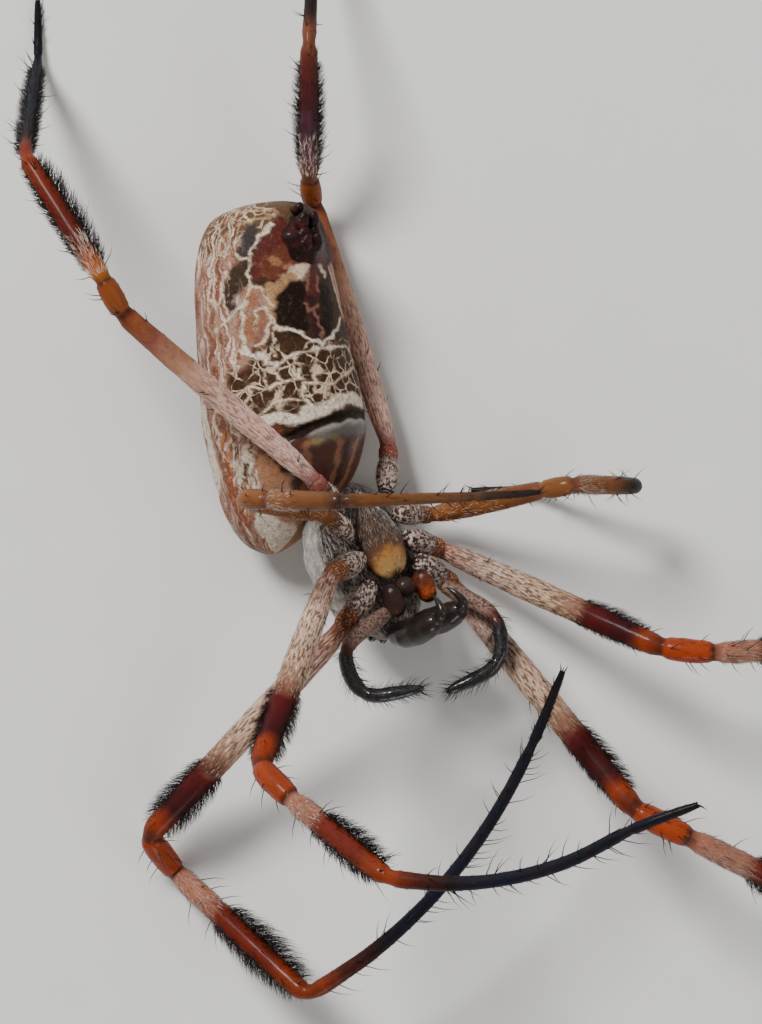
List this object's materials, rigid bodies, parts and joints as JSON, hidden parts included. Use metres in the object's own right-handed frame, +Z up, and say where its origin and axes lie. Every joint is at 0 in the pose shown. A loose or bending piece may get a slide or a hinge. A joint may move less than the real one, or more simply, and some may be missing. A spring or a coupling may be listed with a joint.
{
  "type": "golden silk orb weaver",
  "caption": "Still life-size model of a golden silk orb weaver spider resting on its back and flank, with a barrel-shaped patterned abdomen and long banded legs with brushes of black hair.",
  "frame": {"origin": "centre of the bounding box's underside, on the floor", "axes": "+Z up, away from the floor and towards the spider's left side and belly; +Y from its head towards its spinnerets; +X towards the stretched right legs"},
  "size_m": [0.056, 0.063, 0.0285],
  "materials": {
    "carapace": "silvery white hair over dark skin",
    "sternum": "dark brown with a yellow-orange front",
    "labium": "black-brown",
    "maxilla": "orange-red, satin",
    "chelicera": "glossy black",
    "eye": "glossy black",
    "abdomen": "cream net over dark chocolate, pinkish flanks",
    "spinnerets": "dark maroon, satin",
    "coxa": "pinkish grey-brown, speckled",
    "femur": "pinkish with dark speckles, maroon then orange-red at the knee",
    "patella": "glossy orange-red",
    "tibia": "glossy red-brown with black brushes",
    "metatarsus": "black with a blue sheen",
    "short_leg": "translucent orange-brown",
    "palp": "pinkish at the root, glossy black beyond"
  },
  "bodies": {
    "root": {"carapace": "carapace", "sternum": "sternum", "labium": "labium", "abdomen": "abdomen", "spinnerets": "spinnerets", "maxilla_left": "maxilla", "chelicera_left": "chelicera", "palp_left": "palp", "eye_front_median_left": "eye", "eye_rear_median_left": "eye", "eye_front_side_left": "eye", "eye_rear_side_left": "eye", "leg_left_1_coxa": "coxa", "leg_left_1_femur": "femur", "leg_left_1_patella": "patella", "leg_left_1_tibia": "tibia", "leg_left_1_metatarsus": "metatarsus", "leg_left_2_coxa": "coxa", "leg_left_2_femur": "femur", "leg_left_2_patella": "patella", "leg_left_2_tibia": "tibia", "leg_left_2_metatarsus": "metatarsus", "leg_left_3_coxa": "short_leg", "leg_left_3_femur": "short_leg", "leg_left_3_patella": "short_leg", "leg_left_3_tibia": "short_leg", "leg_left_3_metatarsus": "short_leg", "leg_left_4_coxa": "coxa", "leg_left_4_femur": "femur", "leg_left_4_patella": "patella", "leg_left_4_tibia": "tibia", "leg_left_4_metatarsus": "metatarsus", "maxilla_right": "maxilla", "chelicera_right": "chelicera", "palp_right": "palp", "eye_front_median_right": "eye", "eye_rear_median_right": "eye", "eye_front_side_right": "eye", "eye_rear_side_right": "eye", "leg_right_1_coxa": "coxa", "leg_right_1_femur": "femur", "leg_right_1_patella": "patella", "leg_right_1_tibia": "tibia", "leg_right_1_metatarsus": "metatarsus", "leg_right_2_coxa": "coxa", "leg_right_2_femur": "femur", "leg_right_2_patella": "patella", "leg_right_2_tibia": "tibia", "leg_right_2_metatarsus": "metatarsus", "leg_right_3_coxa": "short_leg", "leg_right_3_femur": "short_leg", "leg_right_3_patella": "short_leg", "leg_right_3_tibia": "short_leg", "leg_right_3_metatarsus": "short_leg", "leg_right_4_coxa": "coxa", "leg_right_4_femur": "femur", "leg_right_4_patella": "patella", "leg_right_4_tibia": "tibia", "leg_right_4_metatarsus": "metatarsus"}
  },
  "joints": []
}
